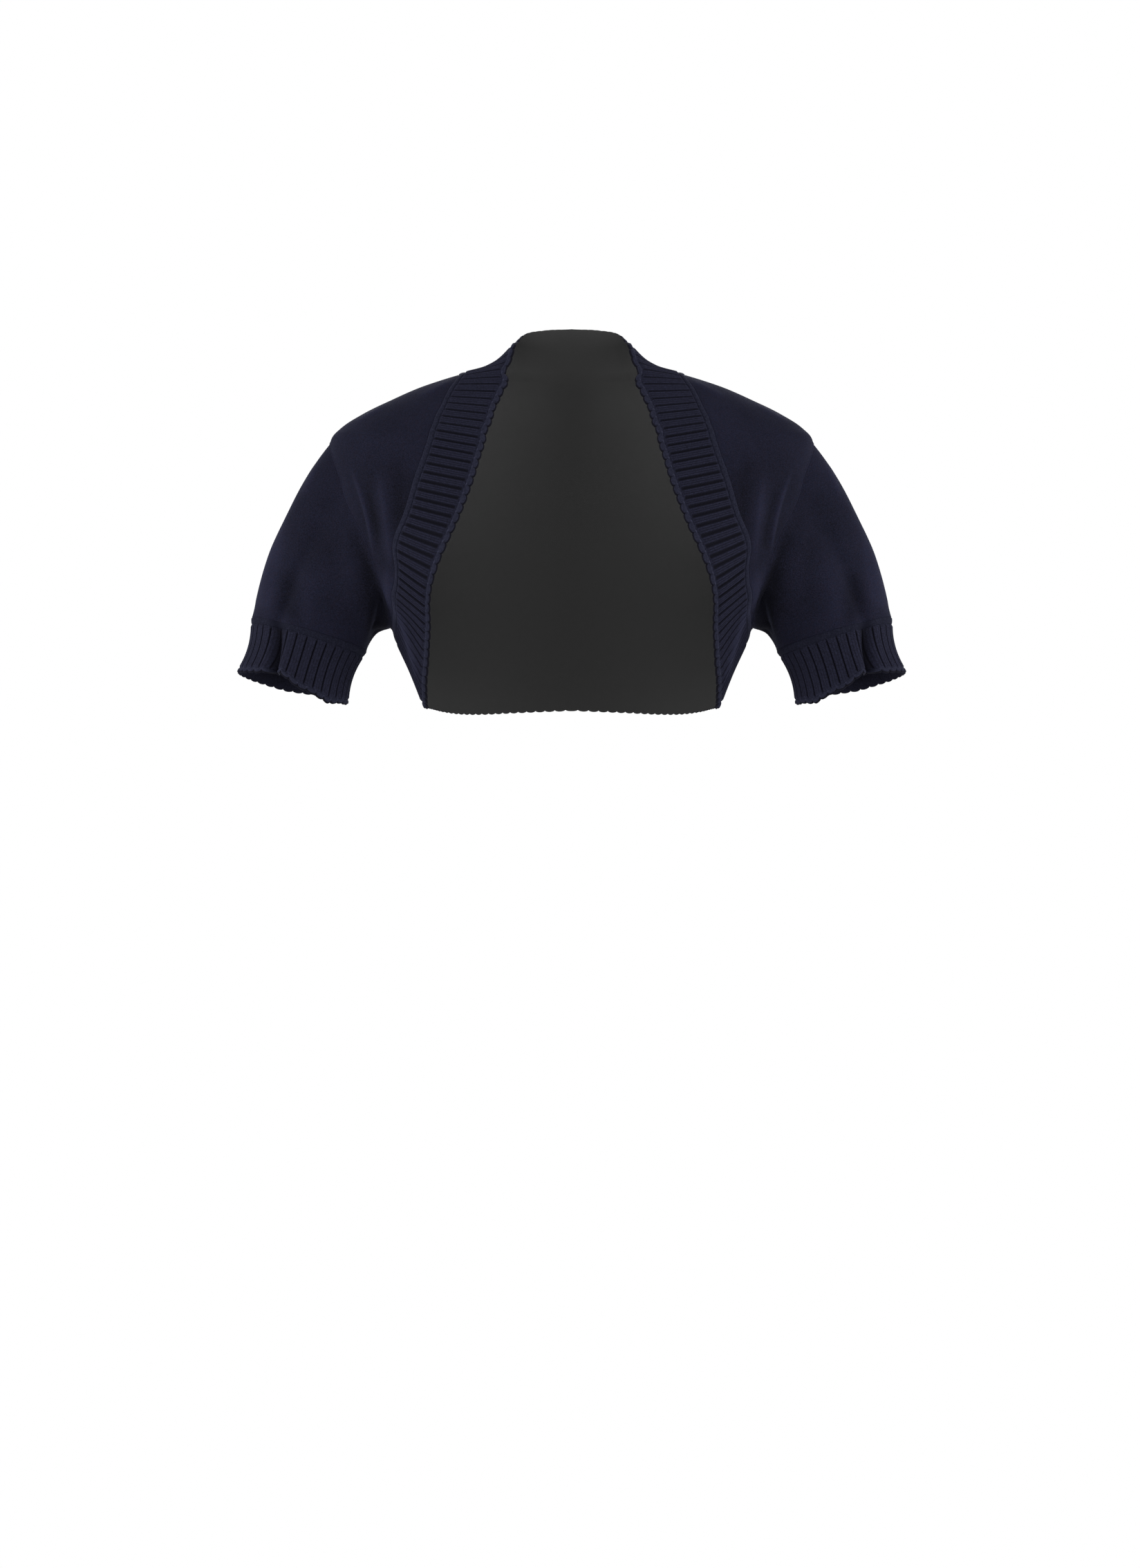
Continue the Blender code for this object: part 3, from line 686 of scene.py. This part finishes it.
# Ribbed band: one wide band of navy rib that runs round the neck, down both fronts and along the
# back hem. Each rib is three fine wales beside a sunk groove. A narrow raised binding joins it to
# the plain knit, and a scalloped strip, with a lobe at the end of each groove, trims its free edge.
RIB_CROWN = 0.9 * MM
RIB_GROOVE = 0.5 * MM
GROOVE_FLOOR = 0.25

# Shares of the band's width, from its seam to its free edge.
BINDING_SHARE = 0.11
SCALLOP_SHARE = 0.042
EDGE_SHARE = 0.017

# What differs between the band and the cuffs. A shade or a glow is a share of light yarn: the
# wales' shade is painted shade between the wales, and the ribs' shade on the cuffs is painted shade
# that darkens them against the band's.
BAND_RIB = {
    "wale_relief": 0.4 * MM,
    "wale_shade": 0.7,
    "rib_shade": 0.0,
    "binding_lift": 1.0 * MM,
    "binding_glow": -0.13,
    "strip_share": 0.955,
    "strip_lift": 1.2 * MM,
    "inside": 0.0,
}

# The scalloped strip: its rounding, its lobes, the cusps between them and its turned edge.
DOME_POWER = 0.42
LOBE_POWER = 0.55
STRAIGHT_TIP = 0.3
CUSP_DEPTH = 0.5
CUSP_SLOPE = 1.6
CUSP_START = 0.3
TURN_START = 0.15
TURN_DEPTHS = (WALL / 5, WALL / 2)

# The painted highlights of the strip, one glint beside each groove, placed in shares of a rib and of
# the strip's height.
GLINT_PHASE = 0.42
GLINT_HALF_WIDTH = 0.09
GLINT_HEIGHT = 0.2
GLINT_HALF_HEIGHT = 0.2
GLINT_LIGHT = 0.9

# Light yarn where a fold presses the ribs flat, a painted highlight along the band's ridge, and on
# the inner face, next to that of a crown: painted light at the strip, painted shade behind the grooves.
PRESSED_RELIEF = 0.7
INSIDE_STRIP = 1.6
INSIDE_GROOVE = 0.3

BINDING_ROWS = 10
GROOVE_STEPS = 2
CROWN_STEPS = 12
RIB_ROWS = 20
STRIP_ROWS = 12
INNER_ROWS = 14
GROOVE_COLUMNS = ("rib", "half_groove", "scallop")
GROOVES = (
    (0, 0.12, 0.0),
    (8, 0.12, 0.2),
    (13, 0.085, 1.0),
    (20, 0.10, 1.0),
    (26, 0.14, 1.0),
    (31, 0.18, 1.0),
    (38, 0.18, 1.0),
    (45, 0.12, 1.0),
    (58, 0.10, 1.0),
    (82, 0.12, 1.0),
)
BAND_RIDGE = ((144.5, -186, 124, -256, 2.0, 2.4, 1.0),)
BAND_RIDGE_LIFT = 1.2 * MM
RIDGE_PRESS = 0.8


def rib_samples(first, last, half_groove):
    """Rib positions of the mesh columns: even steps over each half groove and over each crown."""
    ribs = np.arange(first, last)[:, None]
    half = np.broadcast_to(half_groove(ribs + 0.5), ribs.shape)
    opening = half * np.linspace(0, 1, GROOVE_STEPS + 1)[None, :-1]
    crown = half + (1 - 2 * half) * np.linspace(0, 1, CROWN_STEPS + 1)[None, :]
    closing = 1 - half * np.linspace(1, 0, GROOVE_STEPS + 1)[None, 1:-1]
    return np.append((ribs + np.concatenate([opening, crown, closing], axis=1)).ravel(), float(last))


def rib_profile(rib, half_groove):
    """Height across a rib, from 0 in its groove to 1: a steep-sided crown with three round wales."""
    phase = rib - np.floor(rib)
    crown = np.clip((phase - half_groove) / (1 - 2 * half_groove), 0, 1)
    rise = np.minimum(phase, 1 - phase) / half_groove - GROOVE_FLOOR
    rise = np.clip(rise, 0, 1 - GROOVE_FLOOR) / (1 - GROOVE_FLOOR)
    rise = rise ** 2 * (3 - 2 * rise)
    wales = np.abs(np.sin(3 * np.pi * crown)) * (crown > 0) * (crown < 1)
    return rise, wales


def dome(share):
    """Rounded cross section over a share from 0 to 1, zero at both ends."""
    return np.clip(1 - (2 * share - 1) ** 2, 0, 1) ** DOME_POWER


def ribbed_grids(surface, normal_at, ribs, half_groove, scallop, folds, kind):
    """Outer and inner grids of a ribbed strip, with its yarn map and marks.

    Rows run over the binding, along the ribs, over the scalloped strip and round its turned edge.
    The free edge is a row of lobes, about the square root of a cosine, each centred on a groove. The
    strip is a dome that sinks at the cusps between the lobes, with a painted highlight beside each groove.
    surface and normal_at give points and directions at ribs and shares of the width, half_groove and
    scallop the sizes at each rib, and folds the depth left to the ribs and the height of a fold.
    """
    half, lobe_size, strip_start = half_groove(ribs), scallop(ribs), kind["strip_share"]
    rise, wales = rib_profile(ribs, half)
    lobe = np.abs(np.cos(np.pi * ribs)) ** LOBE_POWER
    tip = 1 + SCALLOP_SHARE * lobe_size * lobe
    turned_tip = 1 + SCALLOP_SHARE * lobe_size * (STRAIGHT_TIP + (1 - STRAIGHT_TIP) * lobe)
    turned_tip = turned_tip + EDGE_SHARE * (STRAIGHT_TIP + (1 - STRAIGHT_TIP) * lobe_size)
    binding = BINDING_SHARE * (0.5 - 0.5 * np.cos(np.linspace(0, np.pi, BINDING_ROWS)))
    ridge = np.linspace(BINDING_SHARE, strip_start, RIB_ROWS)[1:-1]
    strip = 0.5 - 0.5 * np.cos(np.linspace(0, np.pi, STRIP_ROWS))
    rows = [np.full(len(ribs), share) for share in (*binding, *ridge)]
    rows += [strip_start + share * (tip - strip_start) for share in strip]
    rows += [(1 - TURN_START) * tip + TURN_START * turned_tip, turned_tip]
    share = np.stack(rows)
    row = np.arange(len(share))[:, None]
    on_binding = row < len(binding)
    on_strip = row >= len(binding) + len(ridge)
    on_trim = on_binding | on_strip
    turned = row >= len(share) - 2
    rib = np.broadcast_to(ribs, share.shape)
    plain, out = surface(rib, share), normal_at(rib, share)
    fade, fold_and_shade = folds(rib, share, plain)
    strip_share = (share - strip_start) / (tip - strip_start)
    cusp = 1 - CUSP_DEPTH * (1 - lobe) * lobe_size * np.clip(strip_share * CUSP_SLOPE - CUSP_START, 0, 1)
    rib_lift = -RIB_GROOVE + (RIB_CROWN + RIB_GROOVE) * (1 - (1 - rise) * fade)
    rib_lift = rib_lift + kind["wale_relief"] * wales * fade
    lift = np.where(on_binding, kind["binding_lift"] * dome(share / BINDING_SHARE), rib_lift)
    lift = np.where(on_strip, kind["strip_lift"] * dome(strip_share) * cusp, lift)
    lift = np.where(turned, np.where(share < turned_tip, -TURN_DEPTHS[0], -TURN_DEPTHS[1]), lift)
    outer = plain + (lift + np.maximum(fold_and_shade, 0) * BAND_RIDGE_LIFT)[..., None] * out
    inner_rows = np.linspace(0, len(share) - 1, INNER_ROWS).round().astype(int)
    inner_share = share[inner_rows]
    inner_rib = np.broadcast_to(ribs, inner_share.shape)
    inner = surface(inner_rib, inner_share) - WALL * normal_at(inner_rib, inner_share)
    length = np.linalg.norm(surface(ribs, tip) - surface(ribs, 0 * tip), axis=-1)
    middle_steps = np.linalg.norm(np.diff(surface(ribs, 0 * tip + 0.5), axis=0), axis=-1)
    pitch = middle_steps.sum() / (ribs[-1] - ribs[0])
    uv = np.stack([rib * pitch, share * length], axis=-1)
    # The relief is painted into the colour: painted shade in the grooves and between the wales. The turned
    # edge is painted darkest, a painted shadow behind the lobes.
    wale_light = rise * (1 - kind["wale_shade"] * (1 - wales))
    relief_shade = np.where(on_trim, 1.0, wale_light * fade + PRESSED_RELIEF * (1 - fade))
    relief_shade = np.where(turned, 0.0, relief_shade)
    trim = np.broadcast_to(np.where(on_trim & ~turned, 1.0, 0.0), share.shape)
    # A painted highlight, a glint, on the strip beside each groove. On the ribs, the ribs' painted shade,
    # which darkens the cuffs.
    glint = np.exp(-((ribs % 1 - GLINT_PHASE) / GLINT_HALF_WIDTH) ** 2)
    glint = glint * np.exp(-((strip_share - GLINT_HEIGHT) / GLINT_HALF_HEIGHT) ** 2)
    glow = np.where(on_strip, GLINT_LIGHT * glint, kind["rib_shade"])
    fold_and_shade = fold_and_shade + np.where(on_binding, kind["binding_glow"], glow)
    # On the inner face: painted light at the strip and painted shade behind the grooves.
    inside = np.where(on_strip[inner_rows], INSIDE_STRIP, INSIDE_GROOVE + (1 - INSIDE_GROOVE) * rise)
    inside = kind["inside"] * inside
    return outer, inner, uv, {"relief_shade": (relief_shade, inside), "trim": (trim, 0.0), "fold_and_shade": (fold_and_shade, 0.0)}


def band_place(rib, share):
    """Place on the band between its seam edge and its free edge."""
    seam = smooth(band_line["rib"], band_seam, rib)
    edge = smooth(band_line["rib"], band_edge, rib)
    return seam + (edge - seam) * share[..., None]


def band_surface(rib, share):
    """Plain surface of the band, on the worn form."""
    return torso(band_place(rib, share))


def band_normal(rib, share):
    """Outward direction of the band's plain surface."""
    return torso_normal(band_place(rib, share))


def band_folds(rib, share, points):
    """Depth of the ribs and height of the folds: the soft ridge beside the waist presses ribs flat,
    and its height is painted lighter as well, a painted highlight along the ridge.
    """
    ridge = np.clip(creases(points, BAND_RIDGE) / MM, 0, 1) * (points[..., 1] < 0)
    return 1 - RIDGE_PRESS * ridge, ridge


groove_line = named(GROOVE_COLUMNS, GROOVES)


def half_groove(rib):
    """Half the groove's share of a rib, narrow over the shoulder and wide down the front."""
    return np.interp(rib, groove_line["rib"], groove_line["half_groove"])


def scallop_size(rib):
    """Size of the lobes, which flatten out round the back of the neck."""
    return np.interp(rib, groove_line["rib"], groove_line["scallop"])


RIB_DARK = (0.0058, 0.0056, 0.0092, 1)
RIB_LIGHT = (0.0208, 0.0218, 0.0425, 1)
TRIM_DARK = (0.0080, 0.0084, 0.0160, 1)
TRIM_LIGHT = (0.0420, 0.0440, 0.0760, 1)
# The rib: light yarn follows the relief of the wales, broken by courses and flecks. The relief is
# painted shade in the grooves and between the wales, each course a painted highlight, and the fold
# mark adds painted highlight and painted shade. Binding and strip are of the trim's lighter yarn.
rib_navy, tree, shader = yarn_shader("rib_knit_navy_yarn", 0.85, 0.06, (0.55, 0.58, 0.95, 1))
position = tree.nodes.new("ShaderNodeTexCoord").outputs["Object"]
fleck = node(tree, "TexNoise", {"Vector": position, "Scale": 800.0, "Detail": 3.0, "Roughness": 0.75})
split = tree.nodes.new("ShaderNodeSeparateXYZ")
tree.links.new(node(tree, "UVMap", {}, uv_map="yarn"), split.inputs[0])
course = maths(tree, "SINE", maths(tree, "MULTIPLY", split.outputs[1], 2 * np.pi / COURSE))
stitch = maths(tree, "MULTIPLY_ADD", course, 0.5, 0.5)
glow = add_up(tree, 0.6, (stitch, 0.5, 0.55), (fleck, 0.5, 2.2), (point_value(tree, "fold_and_shade"), 0.0, 0.6))
share = maths(tree, "MULTIPLY", point_value(tree, "relief_shade"), glow)
ribs_colour = blend(tree, share, RIB_DARK, RIB_LIGHT)
trim_share = add_up(tree, 0.24, (fleck, 0.5, 1.0), (point_value(tree, "fold_and_shade"), 0.0, 0.6))
trim_colour = blend(tree, trim_share, TRIM_DARK, TRIM_LIGHT)
tree.links.new(blend(tree, point_value(tree, "trim"), ribs_colour, trim_colour), shader.inputs["Base Color"])
fuzz = maths(tree, "ADD", stitch, fleck)
bump = node(tree, "Bump", {"Strength": 0.5, "Distance": 0.25 * MM, "Height": fuzz})
tree.links.new(bump, shader.inputs["Normal"])

# The neck's and the hem's stretches are whole over the centre line, and the fronts are mirror images.
neck_ribs = rib_samples(0, SHOULDER_RIB, half_groove)
front_ribs = rib_samples(SHOULDER_RIB, SIDE_RIB, half_groove)
hem_ribs = rib_samples(SIDE_RIB, HEM_RIB, half_groove)
for name, ribs, flat in (
    ("band_neck", neck_ribs, (0.049, 0.22)),
    ("band_hem", hem_ribs[::-1], (0.048, 0.40)),
):
    outer, inner, uv, marks = ribbed_grids(
        band_surface, band_normal, ribs, half_groove, scallop_size, band_folds, BAND_RIB
    )
    outer = np.concatenate([mirrored(outer[:, :0:-1]), outer], axis=1)
    inner = np.concatenate([mirrored(inner[:, :0:-1]), inner], axis=1)
    uv = np.concatenate([uv[:, :0:-1] * [-1, 1], uv], axis=1)
    marks = {
        key: (np.concatenate([values[:, :0:-1], values], axis=1), 0.0)
        for key, (values, inner_value) in marks.items()
    }
    band = knit_shell(name + "_rib", outer, inner, uv, (rib_navy, charcoal_inside), marks=marks)
    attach(band, "root")
    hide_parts(name)
outer, inner, uv, marks = ribbed_grids(
    band_surface, band_normal, front_ribs, half_groove, scallop_size, band_folds, BAND_RIB
)
for side, turn in (("left", np.asarray), ("right", mirrored)):
    band = knit_shell(
        "band_front_" + side + "_rib", turn(outer), turn(inner), uv, (rib_navy, rib_navy), marks=marks
    )
    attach(band, "root")
    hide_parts("band_front_" + side)

# Cuffs: the same rib with narrower grooves, knitted as a ring with a binding at its top and a
# scalloped rim. One deep crease on the front runs from the binding to the rim.
CUFF_HALF_GROOVE = 0.08
CUFF_RIB = {
    "wale_relief": 0.2 * MM,
    "wale_shade": 0.5,
    "rib_shade": -0.1,
    "binding_lift": 0.6 * MM,
    "binding_glow": -0.3,
    "strip_share": 0.972,
    "strip_lift": 0.8 * MM,
    "inside": 0.36,
}
CUFF_STEP = 0.02
# A painted shade along the cuff's crease, as a fold mark below zero.
CREASE_PAINTED_SHADE = -1.2


def cuff_normal(rib, share):
    """Outward direction: the cross product of a small turn and a small step down the cuff."""
    turn = cuff_surface(rib + CUFF_STEP, share) - cuff_surface(rib - CUFF_STEP, share)
    lowered = cuff_surface(rib, share + CUFF_STEP) - cuff_surface(rib, share - CUFF_STEP)
    return unit(np.cross(turn, lowered))


def cuff_folds(rib, share, points):
    """Depth of the ribs, full all round, and the crease as a fold below the cuff's surface: painted
    shade along the crease.
    """
    return np.ones(share.shape), CREASE_PAINTED_SHADE * cuff_crease(2 * np.pi * rib / RIBS_CUFF, share) ** 2


def same_on_cuff(value):
    """A value that is the same at every rib."""
    return lambda ribs: np.full(np.shape(ribs), value)


cuff_ribs = rib_samples(0, RIBS_CUFF, same_on_cuff(CUFF_HALF_GROOVE))
outer, inner, uv, marks = ribbed_grids(
    cuff_surface, cuff_normal, cuff_ribs, same_on_cuff(CUFF_HALF_GROOVE), same_on_cuff(1.0),
    cuff_folds, CUFF_RIB
)
relief_shade, inside = marks["relief_shade"]
marks = {key: (values[:, :-1], 0.0) for key, (values, inner_value) in marks.items()}
marks["relief_shade"] = (relief_shade[:, :-1], inside[:, :-1])
for side, turn in (("left", np.asarray), ("right", mirrored)):
    cuff = knit_shell(
        "cuff_" + side + "_rib", turn(outer[:, :-1]), turn(inner[:, :-1]), uv, (rib_navy, rib_navy),
        closed=True, marks=marks
    )
    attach(cuff, "root")
    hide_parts("cuff_" + side)

# Studio: a pale floor well below the hem, white surroundings, and four large soft lights, in front,
# behind and at the sides.
FLOOR_HEIGHT = -1.38
FLOOR_HALF = 1.6
LIT_POINT = (0.0, 0.0, -0.15)
floor_mesh = bpy.data.meshes.new("floor")
floor_corners = np.array([(-1, -1, 0), (1, -1, 0), (1, 1, 0), (-1, 1, 0)]) * FLOOR_HALF
floor_corners = floor_corners + [0, 0, FLOOR_HEIGHT]
floor_mesh.from_pydata(floor_corners.tolist(), [], [(0, 1, 2, 3)])
floor_finish = bpy.data.materials.new("pale_floor")
floor_finish.use_nodes = True
shader = floor_finish.node_tree.nodes["Principled BSDF"]
shader.inputs["Base Color"].default_value = (0.85, 0.85, 0.85, 1)
shader.inputs["Roughness"].default_value = 0.9
floor_mesh.materials.append(floor_finish)
floor = bpy.data.objects.new("floor", floor_mesh)
bpy.context.scene.collection.objects.link(floor)

world = bpy.data.worlds.new("white_studio")
world.use_nodes = True
tree = world.node_tree
tree.nodes.clear()
seen = node(tree, "Background", {"Color": (1, 1, 1, 1), "Strength": 1.0})
light = node(tree, "Background", {"Color": (1, 1, 1, 1), "Strength": 0.5})
rays = tree.nodes.new("ShaderNodeLightPath")
choice = node(tree, "MixShader", {0: rays.outputs["Is Camera Ray"], 1: light, 2: seen})
output = tree.nodes.new("ShaderNodeOutputWorld")
tree.links.new(choice, output.inputs["Surface"])
bpy.context.scene.world = world
bpy.context.scene.view_settings.view_transform = "Standard"


def soft_light(name, place, target, size, power):
    """A square area light, turned towards its target."""
    lamp = bpy.data.lights.new(name, "AREA")
    lamp.size = size
    lamp.energy = power
    holder = bpy.data.objects.new(name, lamp)
    holder.location = place
    aim = np.array(target) - np.array(place)
    holder.rotation_euler = Vector(aim).to_track_quat("-Z", "Y").to_euler()
    bpy.context.scene.collection.objects.link(holder)


soft_light("soft_key", (0.0, -2.5, 1.1), LIT_POINT, 1.6, 30.0)
soft_light("soft_left", (2.3, -0.45, 0.1), LIT_POINT, 1.5, 40.0)
soft_light("soft_right", (-2.3, -0.45, 0.1), LIT_POINT, 1.5, 40.0)
soft_light("soft_back", (0.0, 2.6, 1.2), LIT_POINT, 1.8, 35.0)

# Camera: level, three metres in front and without shift, at the photograph's viewing angle. Its place
# puts the shrug where it stands in the photograph's frame.
CAMERA_PLACE = (-0.0014, -3.05, -0.3357)
camera_data = bpy.data.cameras.new("camera")
camera_data.lens = 85
camera_data.sensor_width = 36
camera = bpy.data.objects.new("camera", camera_data)
camera.location = CAMERA_PLACE
camera.rotation_euler = (np.pi / 2, 0, 0)
bpy.context.scene.collection.objects.link(camera)
bpy.context.scene.camera = camera
